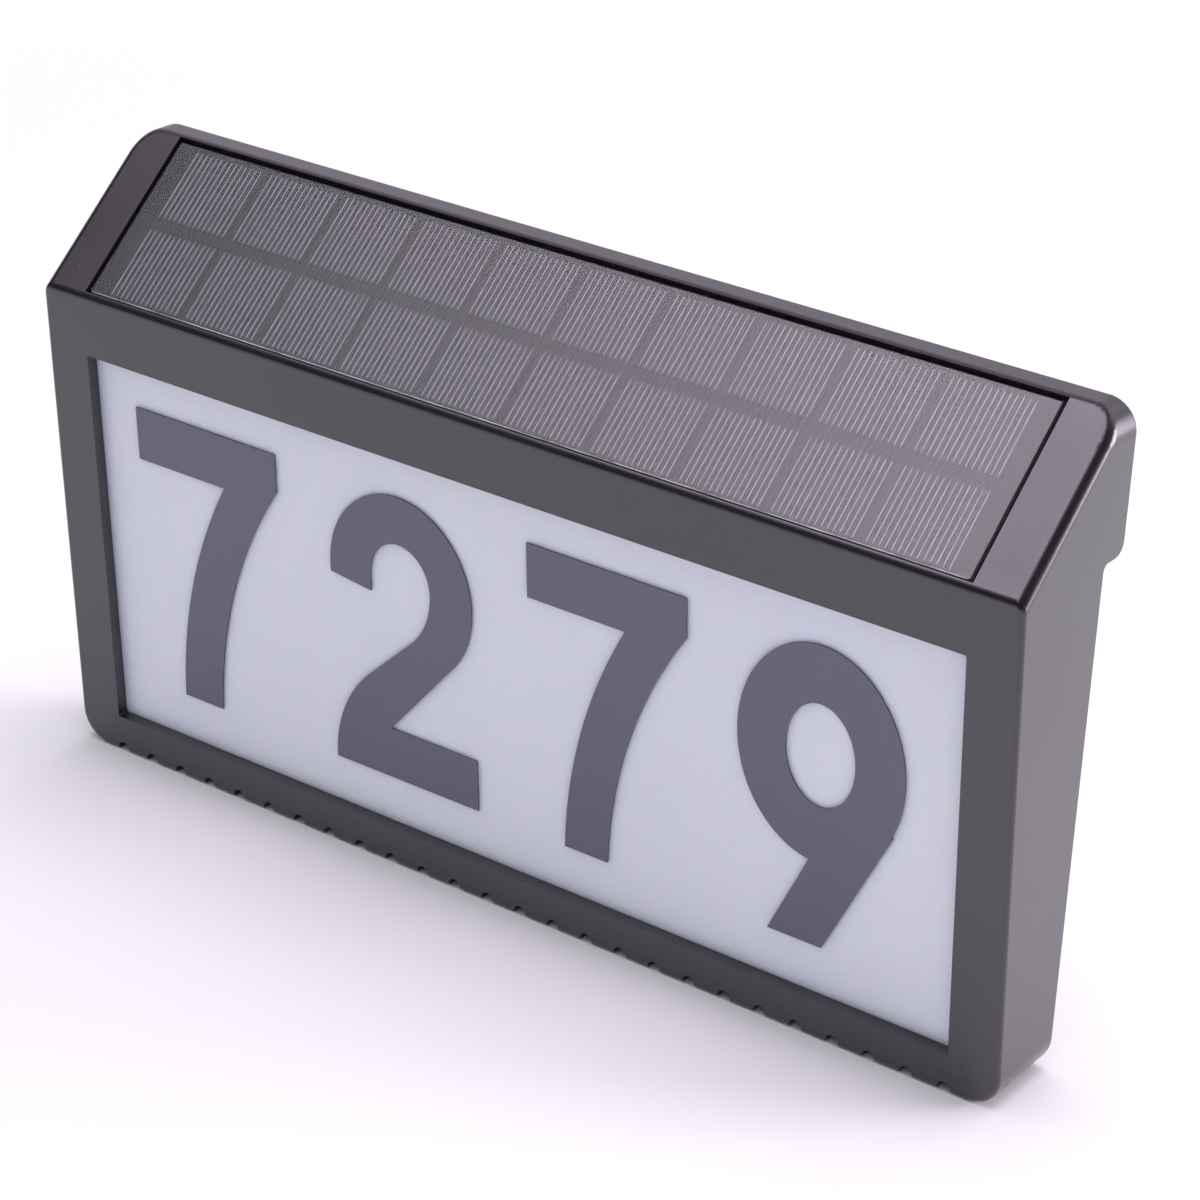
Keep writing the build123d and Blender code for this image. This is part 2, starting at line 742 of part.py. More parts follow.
with BuildPart() as button_seal:
    with BuildSketch(cover_seat):
        with Locations((button_x, button_height)):
            Circle(seal_radius)
            Circle(button_radius + seal_clearance, mode=Mode.SUBTRACT)
    extrude(amount=-seal_thickness)
button_seal.part.label = "button_seal"

with BuildPart() as switch_body:
    with BuildSketch(Plane.XZ.offset(-board_back_y)):
        with Locations((button_x, button_height)):
            RectangleRounded(switch_side, switch_side, switch_corner_radius)
    extrude(amount=-switch_height)
    with BuildSketch(Plane.XZ.offset(-switch_top_y)):
        with Locations((button_x, button_height)):
            Circle(plunger_radius + plunger_clearance)
    extrude(amount=plunger_engagement + button_travel + button_gap, mode=Mode.SUBTRACT)
switch_body.part.label = "switch_body"

with BuildPart() as switch_plunger:
    with BuildSketch(Plane.XZ.offset(-flange_base_y)):
        with Locations((button_x, button_height)):
            Circle(plunger_radius)
    extrude(amount=flange_base_y - switch_top_y + plunger_engagement)
switch_plunger.part.label = "switch_plunger"

# ---- control board ------------------------------------------------------------------

with BuildPart() as control_board:
    with BuildSketch(Plane.XZ.offset(-board_back_y)):
        with Locations((board_x, board_centre_height)):
            RectangleRounded(board_width, board_height, edge_radius)
        with Locations(board_screw_places):
            Circle(small_screw[0] / 2 + screw_clearance, mode=Mode.SUBTRACT)
    extrude(amount=board_thickness)
control_board.part.label = "control_board"

connector_y = board_front_y - connector_depth / 2

with BuildPart() as lead_connectors:
    with BuildSketch(Plane.XZ.offset(-board_front_y)):
        with Locations(
            (solar_connector_x, board_top - connector_length / 2),
            (battery_connector_x, board_top - connector_length / 2),
            (led_connector_x, board_bottom + connector_length / 2),
        ):
            Rectangle(connector_width, connector_length)
    extrude(amount=connector_depth)
lead_connectors.part.label = "lead_connectors"


with BuildPart() as charge_chip:
    with BuildSketch(Plane.XZ.offset(-board_front_y)):
        with Locations((board_x, board_centre_height + chip_rise)):
            Rectangle(chip_width, chip_length)
    extrude(amount=chip_depth)
charge_chip.part.label = "charge_chip"

with BuildPart() as inductor:
    with BuildSketch(Plane.XZ.offset(-board_front_y)):
        with Locations((board_x + inductor_shift, board_centre_height)):
            Circle(inductor_radius)
    extrude(amount=inductor_height)
inductor.part.label = "inductor"

with BuildPart() as capacitors:
    with BuildSketch(Plane.XZ.offset(-board_front_y)):
        with Locations((board_x, board_centre_height - capacitor_radius)):
            with GridLocations(2 * capacitor_radius + capacitor_gap, 1, 2, 1):
                Circle(capacitor_radius)
    extrude(amount=capacitor_height)
capacitors.part.label = "capacitors"

# ---- battery ------------------------------------------------------------------------

bay_length = 2 * contact_thickness + spring_travel + cell_body_length + cell_nub_length
bay_left = battery_x - bay_length / 2
bay_right = battery_x + bay_length / 2
cell_left = bay_left + contact_thickness + spring_travel
cradle_inner = cell_radius + cradle_clearance
cradle_outer = cradle_inner + cradle_wall


def across(x):
    """Plane across the cell's axis at x, its local Y square to the sloped wall."""
    axis_point = (x, battery_y, battery_height)
    return Plane(origin=axis_point, x_dir=(0, slope_cos, slope_sin), z_dir=(1, 0, 0))


with BuildPart() as battery_cell:
    with BuildSketch(across(cell_left)):
        Circle(cell_radius)
    extrude(amount=cell_body_length)
    fillet(battery_cell.edges().filter_by(GeomType.CIRCLE), cell_edge_radius)
    with BuildSketch(across(cell_left + cell_body_length)):
        Circle(cell_nub_radius)
    extrude(amount=cell_nub_length)
battery_cell.part.label = "battery_cell"

lug_low = battery_headroom - cradle_boss_height - cradle_lug_thickness
lug_root = math.sqrt(cradle_outer**2 - lug_low**2) - cradle_wall / 2
keel_low = cradle_inner + cradle_wall / 4
with BuildPart() as battery_cradle:
    with BuildSketch(across(bay_left - cradle_end)):
        Circle(cradle_outer)
        Circle(cradle_inner, mode=Mode.SUBTRACT)
        split(bisect_by=Plane.XZ, keep=Keep.BOTTOM)
        with Locations((0, (keel_low + battery_headroom) / 2)):
            Rectangle(cradle_lug_width, battery_headroom - keel_low)
    extrude(amount=bay_length + 2 * cradle_end)
    for start in (bay_left - cradle_end, bay_right):
        with BuildSketch(across(start)):
            Circle(cradle_outer)
            with Locations((0, -cradle_lip - cradle_outer)):
                Rectangle(2 * cradle_outer, 2 * cradle_outer, mode=Mode.SUBTRACT)
            Circle(contact_hole_radius, mode=Mode.SUBTRACT)
        extrude(amount=cradle_end)
    for side in (-1, 1):
        with BuildSketch(across(battery_x + side * cradle_boss_x - cradle_lug_width / 2)):
            with Locations(((lug_root + cradle_lug_reach) / 2, lug_low + cradle_lug_thickness / 2)):
                Rectangle(cradle_lug_reach - lug_root, cradle_lug_thickness)
        extrude(amount=cradle_lug_width)
    with BuildSketch(slope_plane.offset(-slope_wall)):
        with Locations(cradle_screw_places):
            Circle(small_screw[0] / 2 + screw_clearance)
    extrude(amount=-cradle_boss_height - 2 * cradle_lug_thickness, mode=Mode.SUBTRACT)
battery_cradle.part.label = "battery_cradle"

with BuildPart() as contact_plate:
    with BuildSketch(across(bay_right)):
        Rectangle(contact_side, contact_side)
    extrude(amount=-contact_thickness)
contact_plate.part.label = "contact_plate"

with BuildPart() as contact_spring:
    with BuildSketch(across(bay_left)):
        Rectangle(contact_side, contact_side)
    extrude(amount=contact_thickness)
    leaf_tip = contact_thickness + spring_travel
    bay_point = across(bay_left).origin
    with BuildSketch(Plane(origin=bay_point, x_dir=(1, 0, 0), z_dir=(0, slope_cos, slope_sin))):
        with BuildLine():
            Polyline(
                (contact_thickness / 2, leaf_root),
                (leaf_tip, contact_thickness),
                (leaf_tip, -contact_thickness),
                (leaf_tip / 2, -leaf_end),
                (leaf_tip / 2 - contact_thickness, -leaf_end),
                (leaf_tip - contact_thickness, 0),
                (contact_thickness / 2, leaf_end),
                close=True,
            )
        make_face()
    extrude(amount=leaf_half_width, both=True)
contact_spring.part.label = "contact_spring"

# ---- screws -------------------------------------------------------------------------


def screw_group(spec, planes):
    """One screw for each plane, its head standing on the plane."""
    fastener = screw(spec)
    with BuildPart() as group:
        with Locations(*planes):
            add(fastener)
    return group.part


ear_back = front_plane.offset(-tray_back)
lug_back = slope_plane.offset(-slope_wall - cradle_boss_height - cradle_lug_thickness)


def facing_away(plane, x, v):
    """Plane at this place of the given plane, turned to look into the body."""
    return Plane(origin=plane.from_local_coords(Vector(x, v)), x_dir=(1, 0, 0), z_dir=-plane.z_dir)


cover_screws = screw_group(cover_screw, [plane.offset(-counterbore_depth) for plane in cover_screw_planes])
tray_screws = screw_group(small_screw, [facing_away(ear_back, x, v) for x, v in ear_places])
cradle_screws = screw_group(small_screw, [facing_away(lug_back, x, v) for x, v in cradle_screw_places])
board_screws = screw_group(
    small_screw, [Plane(origin=(x, board_front_y, z), z_dir=(0, -1, 0)) for x, z in board_screw_places]
)

# ---- internal leads -----------------------------------------------------------------


def lead_pair(routes):
    """Round leads, each along straight runs joined by arcs."""
    with BuildPart() as pair:
        for points in routes:
            with BuildLine() as route:
                if len(points) > 2:
                    FilletPolyline(*points, radius=lead_bend_radius)
                else:
                    Line(*points)
            with BuildSketch(Plane(origin=route.line @ 0, z_dir=route.line % 0)):
                Circle(lead_radius)
            sweep(path=route.line)
    return pair.part


def beside(x):
    """The two places of a pair of leads about x."""
    return (x - lead_spacing / 2, x + lead_spacing / 2)


solar_leads = lead_pair(
    [
        (
            slope_point(x, solar_lead_v, seat_depth),
            slope_point(x, solar_lead_v, slope_wall + lead_turn_run),
            Vector(x, connector_y, board_top + lead_turn_run),
            Vector(x, connector_y, board_top),
        )
        for x in beside(solar_lead_x)
    ]
)
led_leads = lead_pair(
    [
        (
            front_point(x, led_board_vs[1], tray_floor_front),
            front_point(x, led_board_vs[1], tray_back + lead_short_run),
            Vector(x, connector_y, board_bottom - lead_turn_run),
            Vector(x, connector_y, board_bottom),
        )
        for x in beside(led_connector_x)
    ]
)
near_x, far_x = beside(battery_connector_x)
low_run = board_top + lead_short_run
high_run = low_run + 2 * lead_spacing
left_drop = bay_left - cradle_end - lead_turn_run
right_drop = bay_right + cradle_end + lead_turn_run
battery_leads = lead_pair(
    [
        (
            Vector(near_x, connector_y, board_top),
            Vector(near_x, connector_y, high_run),
            Vector(left_drop, connector_y, high_run),
            Vector(left_drop, battery_y, battery_height),
            Vector(bay_left, battery_y, battery_height),
        ),
        (
            Vector(far_x, connector_y, board_top),
            Vector(far_x, connector_y, low_run),
            Vector(right_drop, connector_y, low_run),
            Vector(right_drop, battery_y, battery_height),
            Vector(bay_right, battery_y, battery_height),
        ),
    ]
)
link_depth = tray_floor_front - lead_radius - lead_rest_gap
link_x = led_board_length / 2 - led_pitch
strip_link_leads = lead_pair(
    [
        (
            front_point(x, led_board_vs[0] - led_board_width / 2, link_depth),
            front_point(x, led_board_vs[1] + led_board_width / 2, link_depth),
        )
        for x in beside(link_x)
    ]
)

# ---- output -------------------------------------------------------------------------

pieces = {
    "housing": housing.part,
    "diffuser_panel": diffuser_panel.part,
    "numeral_7_left": numeral(seven, 0),
    "numeral_2": numeral(two, 1),
    "numeral_7_right": numeral(seven, 2),
    "numeral_9": numeral(nine, 3),
    "solar_backing": solar_backing.part,
    "solar_cells": solar_cells.part,
    "solar_cover": solar_cover.part,
    "light_tray": light_tray.part,
    "tray_screws": tray_screws,
    "led_strip_upper": led_strip_upper,
    "led_strip_lower": led_strip_lower,
    "led_chips": led_chips.part,
    "strip_link_leads": strip_link_leads,
    "battery_cell": battery_cell.part,
    "battery_cradle": battery_cradle.part,
    "cradle_screws": cradle_screws,
    "contact_plate": contact_plate.part,
    "contact_spring": contact_spring.part,
    "control_board": control_board.part,
    "board_screws": board_screws,
    "charge_chip": charge_chip.part,
    "inductor": inductor.part,
    "capacitors": capacitors.part,
    "lead_connectors": lead_connectors.part,
    "switch_body": switch_body.part,
    "switch_plunger": switch_plunger.part,
    "mode_button": mode_button.part,
    "button_seal": button_seal.part,
    "solar_leads": solar_leads,
    "battery_leads": battery_leads,
    "led_leads": led_leads,
    "rear_cover": rear_cover.part,
    "cover_gasket": cover_gasket.part,
    "cover_screws": cover_screws,
}
os.makedirs("parts", exist_ok=True)
for name, piece in pieces.items():
    piece.label = name
    export_step(piece, f"parts/{name}.step")
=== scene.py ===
import math
import random

import bmesh
import bpy
from bpy.props import FloatProperty, FloatVectorProperty, IntProperty, PointerProperty
from mathutils import Matrix, Vector


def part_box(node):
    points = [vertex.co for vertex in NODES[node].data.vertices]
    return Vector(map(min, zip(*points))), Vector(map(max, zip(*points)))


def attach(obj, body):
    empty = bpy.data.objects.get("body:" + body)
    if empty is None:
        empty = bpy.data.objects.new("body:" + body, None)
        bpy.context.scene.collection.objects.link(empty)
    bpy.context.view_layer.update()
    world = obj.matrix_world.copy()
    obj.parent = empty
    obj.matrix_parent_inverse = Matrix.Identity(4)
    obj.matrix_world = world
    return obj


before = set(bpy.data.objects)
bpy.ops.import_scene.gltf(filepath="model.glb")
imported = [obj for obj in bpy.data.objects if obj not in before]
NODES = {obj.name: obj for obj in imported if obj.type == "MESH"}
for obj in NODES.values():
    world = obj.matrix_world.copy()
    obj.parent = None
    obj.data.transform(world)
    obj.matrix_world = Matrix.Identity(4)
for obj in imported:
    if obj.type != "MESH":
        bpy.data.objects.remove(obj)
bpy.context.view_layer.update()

bl_info = {
    "name": "Illuminated House Number Sign",
    "version": (1, 0, 0),
    "blender": (4, 5, 0),
    "location": "View3D > Sidebar > House Sign",
    "description": "Finishes and stage of a solar house number sign",
    "category": "Object",
}

SIGN = "sign"
MM = 0.001

# Boxes that the extra pieces are placed from, read from the frame.
CELLS_LOW, CELLS_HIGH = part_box("solar_cells")
COVER_LOW, COVER_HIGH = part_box("solar_cover")

# Sizes of the cells and of the resin over them, as the CAD has them.
CELL_COLUMNS, CELL_ROWS = 10, 2
CELL_WIDTH, CELL_LENGTH, CELL_THICKNESS = 21.6 * MM, 19.4 * MM, 0.25 * MM
RESIN_OVER_CELLS = 0.7 * MM

WHITE = (1.0, 1.0, 1.0)
DUST = (0.45, 0.44, 0.45)
EDGE_RADIUS = 0.6 * MM  # how wide the painted edge highlight is
AIM = Vector((0.0, 0.0, 0.07))  # point of the sign that the lamps face


# ---- settings -----------------------------------------------------------------------


def colour(name, description, default):
    """Colour property with linear red, green and blue."""
    return FloatVectorProperty(
        name=name, description=description, subtype="COLOR",
        size=3, min=0.0, max=1.0, default=default,
    )


def length(name, description, default):
    """Length property in metres."""
    return FloatProperty(
        name=name, description=description, unit="LENGTH", min=0.0, default=default
    )


def share(name, description, default):
    """Property from 0 to 1."""
    return FloatProperty(
        name=name, description=description, subtype="FACTOR", min=0.0, max=1.0, default=default
    )


def strength(name, description, default):
    """Brightness from 0 up."""
    return FloatProperty(name=name, description=description, min=0.0, default=default)


def power(name, description, default):
    """Power of a lamp in watts."""
    return FloatProperty(
        name=name, description=description, unit="POWER", min=0.0, default=default
    )


class HousingSettings(bpy.types.PropertyGroup):
    shell: colour("Shell", "Black of the moulded housing", (0.0095, 0.0082, 0.0100))
    # the pale shell colour also goes on the edges, half again as bright, as a painted highlight
    shell_pale: colour("Pale shell", "Paler patches and painted edge highlights", (0.016, 0.0142, 0.017))
    rear: colour("Rear cover", "Black of the rear cover", (0.024, 0.023, 0.025))
    roughness: share("Roughness", "Satin of the shell", 0.30)
    grain: length("Grain", "Size of the moulded grain", 0.35 * MM)
    rear_grain: length("Rear grain", "Size of the grain of the rear cover", 0.6 * MM)


class PanelSettings(bpy.types.PropertyGroup):
    opal: colour("Opal", "Colour of the opal panel", (0.90, 0.90, 0.975))
    opal_shade: colour("Opal shade", "Thinner patches of the opal panel", (0.84, 0.845, 0.94))
    glow_depth: length("Glow depth", "How far light spreads inside the panel", 7.0 * MM)
    numeral: colour("Numerals", "Dark grey of the numerals", (0.064, 0.060, 0.106))
    numeral_roughness: share("Numeral roughness", "Satin of the numerals", 0.32)


class SolarSettings(bpy.types.PropertyGroup):
    silicon: colour("Silicon", "Dark blue grey of the cells", (0.016, 0.016, 0.024))
    silicon_pale: colour("Pale silicon", "Lighter crystals of the cells", (0.022, 0.022, 0.031))
    silver: colour("Silver", "Printed lines of the cells", (0.43, 0.41, 0.47))
    backing: colour("Backing", "Board that shows between the cells", (0.017, 0.017, 0.024))
    haze: colour("Haze", "Milky tint of the resin", (0.20, 0.20, 0.23))
    haze_share: share("Haze share", "How much of the haze shows", 0.06)
    resin_roughness: share("Resin roughness", "Satin of the resin", 0.30)
    fingers: IntProperty(name="Lines", description="Printed lines on each cell", min=2, default=14)
    finger_pitch: length("Line pitch", "From one printed line to the next", 1.53 * MM)
    finger_width: length("Line width", "Width of a printed line", 0.24 * MM)
    finger_length: length("Line length", "Length of a printed line", 18.4 * MM)


class StageSettings(bpy.types.PropertyGroup):
    camera_place: FloatVectorProperty(
        name="Camera place",
        description="Where the camera stands",
        subtype="TRANSLATION",
        unit="LENGTH",
        size=3,
        default=(0.434811, -0.594066, 0.430063),
    )
    camera_turn: FloatVectorProperty(
        name="Camera turn",
        description="How the camera is turned",
        subtype="EULER",
        unit="ROTATION",
        size=3,
        default=(math.radians(64.36705), math.radians(-2.303863), math.radians(36.247615)),
    )
    lens: FloatProperty(
        name="Lens", description="Focal length in millimetres", min=1.0, default=107.755
    )
    floor: colour("Floor", "Pale floor", (0.87, 0.845, 0.90))
    world: colour("Surroundings", "Pale surroundings", (0.98, 0.955, 1.0))
    world_mirrored: colour("Mirrored surroundings", "As reflections show them", (0.95, 0.86, 1.0))
    world_strength: strength("Surroundings strength", "Light from all round", 0.66)
    room_dark: share("Dark side", "How bright the room before the sign mirrors", 0.05)
    room_bright: share("Bright side", "How bright the room behind the sign mirrors", 0.75)
    room_glow: strength("Mirrored glow", "Brightness of the soft glow that the slope mirrors", 5.5)
    overhead: power("Overhead", "Power of the overhead soft box", 12.5)
    key: power("Key", "Power of the soft box behind the right side", 1.5)
    side: power("Side", "Power of the low soft box at the right", 18.5)
    side_tone: colour("Side tone", "Colour of the low soft box", (0.97, 0.90, 1.0))


# ---- node helpers -------------------------------------------------------------------


class Graph:
    """Short ways to add and join the nodes of one tree."""

    def __init__(self, tree):
        self.tree = tree

    def add(self, kind, **settings):
        """New node with these settings."""
        node = self.tree.nodes.new(kind)
        for key, value in settings.items():
            setattr(node, key, value)
        return node

    def feed(self, socket, value):
        """Join another node's socket to this one, or set its value."""
        if isinstance(value, bpy.types.NodeSocket):
            self.tree.links.new(value, socket)
        else:
            socket.default_value = value

    def math(self, operation, a, b=0.0, clamp=False):
        node = self.add("ShaderNodeMath", operation=operation, use_clamp=clamp)
        self.feed(node.inputs[0], a)
        self.feed(node.inputs[1], b)
        return node.outputs[0]

    def vector(self, operation, a, b=(0.0, 0.0, 0.0), output="Vector"):
        node = self.add("ShaderNodeVectorMath", operation=operation)
        self.feed(node.inputs[0], a)
        self.feed(node.inputs[1], b)
        return node.outputs[output]

    def mix(self, share_of_b, a, b):
        """Colour between a and b."""
        node = self.add("ShaderNodeMix", data_type="RGBA")
        self.feed(node.inputs[0], share_of_b)
        self.feed(node.inputs[6], a)
        self.feed(node.inputs[7], b)
        return node.outputs[2]

    def choose(self, share_of_b, a, b):
        """Number between a and b."""
        node = self.add("ShaderNodeMix", data_type="FLOAT")
        self.feed(node.inputs[0], share_of_b)
        self.feed(node.inputs[2], a)
        self.feed(node.inputs[3], b)
        return node.outputs[0]

    def layer(self, share_of_upper, lower, upper):
        """Shader between lower and upper."""
        node = self.add("ShaderNodeMixShader")
        self.feed(node.inputs[0], share_of_upper)
        self.feed(node.inputs[1], lower)
        self.feed(node.inputs[2], upper)
        return node.outputs[0]

    def place(self):
        """Point of the surface in the sign's own frame, in metres."""
        return self.add("ShaderNodeTexCoord").outputs["Object"]

    def noise(self, vector, scale, detail=2.0, roughness=0.5):
        """Noise with this many waves to the metre."""
        node = self.add("ShaderNodeTexNoise")
        self.feed(node.inputs["Vector"], vector)
        self.feed(node.inputs["Scale"], scale)
        node.inputs["Detail"].default_value = detail
        node.inputs["Roughness"].default_value = roughness
        return node.outputs["Fac"]

    def span(self, value, low, high, to_low=0.0, to_high=1.0):
        """Value from low to high brought to to_low to to_high, and held there."""
        node = self.add("ShaderNodeMapRange")
        for key, number in (
            ("Value", value),
            ("From Min", low),
            ("From Max", high),
            ("To Min", to_low),
            ("To Max", to_high),
        ):
            self.feed(node.inputs[key], number)
        return node.outputs["Result"]

    def bump(self, height, distance):
        """Normal of a surface that stands out by distance where height is 1."""
        node = self.add("ShaderNodeBump")
        self.feed(node.inputs["Height"], height)
        node.inputs["Distance"].default_value = distance
        node.inputs["Strength"].default_value = 1.0
        return node.outputs["Normal"]

    def group(self, name, **values):
        """Instance of a shared effect, with its own values."""
        node = self.add("ShaderNodeGroup", node_tree=bpy.data.node_groups[name])
        for key, value in values.items():
            self.feed(node.inputs[key.replace("_", " ").capitalize()], value)
        return node.outputs


def effect(name, inputs, outputs):
    """New node group with named sockets: its graph, input sockets and output sockets."""
    tree = bpy.data.node_groups.new(name, "ShaderNodeTree")
    number = "NodeSocketFloat"
    for label, default in inputs.items():
        tree.interface.new_socket(label, in_out="INPUT", socket_type=number).default_value = default
    for label in outputs:
        tree.interface.new_socket(label, in_out="OUTPUT", socket_type=number)
    graph = Graph(tree)
    return graph, graph.add("NodeGroupInput").outputs, graph.add("NodeGroupOutput").inputs


def build_moulded_grain():
    """Fine grain and broad unevenness of a moulded surface."""
    g, given, out = effect("Moulded grain", {"Size": 0.4 * MM}, ("Height", "Patches"))
    place = g.place()
    fine = g.noise(place, g.math("DIVIDE", 1.0, given["Size"]), detail=3.0, roughness=0.6)
    broad = g.noise(place, 38.0, detail=3.0, roughness=0.55)
    g.feed(out["Height"], fine)
    g.feed(out["Patches"], g.span(broad, 0.32, 0.68))


def build_painted_edge_highlight():
    """Mask of the edges for a painted edge highlight, broken up by noise."""
    g, given, out = effect("Painted edge highlight", {"Radius": 0.5 * MM, "Amount": 0.5}, ("Mask",))
    bevel = g.add("ShaderNodeBevel", samples=6)
    g.feed(bevel.inputs["Radius"], given["Radius"])
    normal = g.add("ShaderNodeNewGeometry").outputs["Normal"]
    likeness = g.vector("DOT_PRODUCT", bevel.outputs[0], normal, output="Value")
    broken = g.span(g.noise(g.place(), 420.0, detail=3.0), 0.35, 0.65, 0.35, 1.0)
    edge = g.span(g.math("SUBTRACT", 1.0, likeness), 0.015, 0.22)
    mask = g.math("MULTIPLY", edge, broken)
    g.feed(out["Mask"], g.math("MULTIPLY", mask, given["Amount"], clamp=True))


def build_dust():
    """Mask of small specks of dust, denser on surfaces that look up."""
    g, given, out = effect("Dust", {"Amount": 0.3}, ("Mask",))
    specks_per_metre, share_left_out = 260.0, 0.93
    cells = g.add("ShaderNodeTexVoronoi", feature="F1")
    g.feed(cells.inputs["Vector"], g.place())
    cells.inputs["Scale"].default_value = specks_per_metre
    speck = g.span(cells.outputs["Distance"], 0.05, 0.11, 1.0, 0.0)
    split = g.add("ShaderNodeSeparateColor")
    g.feed(split.inputs[0], cells.outputs["Color"])
    chosen = g.math("GREATER_THAN", split.outputs[0], share_left_out)
    up = g.add("ShaderNodeSeparateXYZ")
    g.feed(up.inputs[0], g.add("ShaderNodeNewGeometry").outputs["Normal"])
    lying = g.span(up.outputs["Z"], -0.2, 0.8, 0.35, 1.0)
    mask = g.math("MULTIPLY", g.math("MULTIPLY", speck, chosen), lying)
    g.feed(out["Mask"], g.math("MULTIPLY", mask, given["Amount"], clamp=True))


def build_streaks():
    """Fine drawn lines along one direction, as on rolled or brushed metal."""
    g, given, out = effect("Drawn streaks", {"Size": 0.2 * MM}, ("Height", "Tone"))
    stretched = g.add("ShaderNodeMapping")
    g.feed(stretched.inputs["Vector"], g.place())
    stretched.inputs["Scale"].default_value = (0.04, 1.0, 1.0)
    per_metre = g.math("DIVIDE", 1.0, given["Size"])
    lines = g.noise(stretched.outputs[0], per_metre, detail=4.0, roughness=0.7)
    g.feed(out["Height"], lines)
    g.feed(out["Tone"], g.span(lines, 0.3, 0.7))


def principled(material):
    return material.node_tree.nodes["Principled BSDF"]


def new_material(name):
    """Empty material, its graph and the sockets of its Principled shader."""
    material = bpy.data.materials.new(name)
    material.use_nodes = True
    return material, Graph(material.node_tree), principled(material).inputs


def show(material, graph, shader):
    """Make this shader the material's surface."""
    graph.feed(material.node_tree.nodes["Material Output"].inputs["Surface"], shader)


def rgba(values):
    return (values[0], values[1], values[2], 1.0)


def scaled(values, factor):
    return tuple(min(value * factor, 1.0) for value in values)


def moulded(name, base, pale, roughness, grain, depth=0.006 * MM, edge=0.5, dust=0.0, specular=0.5):
    """Moulded plastic: grain, uneven gloss, a painted highlight along the edges (edge sets how
    strong) and a little dust.
    """
    material, g, shader = new_material(name)
    moulding = g.group("Moulded grain", size=grain)
    painted_edge_highlight = g.group("Painted edge highlight", radius=EDGE_RADIUS, amount=edge)["Mask"]
    tone = g.mix(g.math("MULTIPLY", moulding["Patches"], 0.35), rgba(base), rgba(pale))
    # painted highlight: the edges are lightened to half again the pale colour
    tone = g.mix(painted_edge_highlight, tone, rgba(scaled(pale, 1.5)))
    if dust:
        tone = g.mix(g.group("Dust", amount=dust)["Mask"], tone, rgba(DUST))
    g.feed(shader["Base Color"], tone)
    gloss = g.span(moulding["Patches"], 0.0, 1.0, roughness - 0.03, roughness + 0.04)
    g.feed(shader["Roughness"], g.math("SUBTRACT", gloss, g.math("MULTIPLY", painted_edge_highlight, 0.08)))
    g.feed(shader["Normal"], g.bump(moulding["Height"], depth))
    shader["Specular IOR Level"].default_value = specular
    return material


def metal(name, base, pale, roughness):
    """Plated or drawn metal."""
    material, g, shader = new_material(name)
    streaks = g.group("Drawn streaks", size=0.2 * MM)
    g.feed(shader["Base Color"], g.mix(streaks["Tone"], rgba(base), rgba(pale)))
    gloss = g.span(streaks["Tone"], 0.0, 1.0, roughness - 0.06, roughness + 0.08)
    g.feed(shader["Roughness"], gloss)
    g.feed(shader["Normal"], g.bump(streaks["Height"], 0.006 * MM))
    shader["Metallic"].default_value = 1.0
    return material


def dress(material, *names):
    """Give CAD nodes this material in every slot."""
    for name in names:
        slots = NODES[name].data.materials
        if not slots:
            slots.append(material)
        for index in range(len(slots)):
            slots[index] = material


# ---- mesh helpers -------------------------------------------------------------------


def piece(name, mesh_builder, material, body=SIGN):
    """New object from a bmesh, riding on a body."""
    mesh = bpy.data.meshes.new(name)
    mesh_builder.to_mesh(mesh)
    mesh_builder.free()
    obj = bpy.data.objects.new(name, mesh)
    bpy.context.scene.collection.objects.link(obj)
    mesh.materials.append(material)
    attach(obj, body)
    return obj


def slope_frame():
    """Frame on top of the cells, in their middle, and their run up the slope.

    X goes along the panel, Y up the slope and Z out of it.
    """
    rise = CELLS_HIGH - CELLS_LOW
    # the box of a slab, run long and tilted, is (run cos + t sin) by (run sin + t cos)
    low, high = 0.0, math.radians(90)
    halvings = 40
    for _ in range(halvings):
        angle = (low + high) / 2
        run = (rise.y - CELL_THICKNESS * math.sin(angle)) / math.cos(angle)
        if run * math.sin(angle) + CELL_THICKNESS * math.cos(angle) < rise.z:
            low = angle
        else:
            high = angle
    across = Vector((1, 0, 0))
    up = Vector((0, math.cos(angle), math.sin(angle)))
    out = across.cross(up)
    matrix = Matrix((across, up, out)).transposed().to_4x4()
    matrix.translation = (CELLS_LOW + CELLS_HIGH) / 2 + out * CELL_THICKNESS / 2
    return matrix, run


# ---- operators ----------------------------------------------------------------------


class SignOperator(bpy.types.Operator):
    """Part of the house number sign."""

    bl_options = {"REGISTER", "UNDO"}

    @property
    def settings(self):
        return bpy.context.scene.house_sign


class HOUSESIGN_OT_effects(SignOperator):
    """Build the effects that the finishes share"""

    bl_idname = "housesign.effects"
    bl_label = "Shared effects"

    def execute(self, context):
        build_moulded_grain()
        build_painted_edge_highlight()
        build_dust()
        build_streaks()
        return {"FINISHED"}


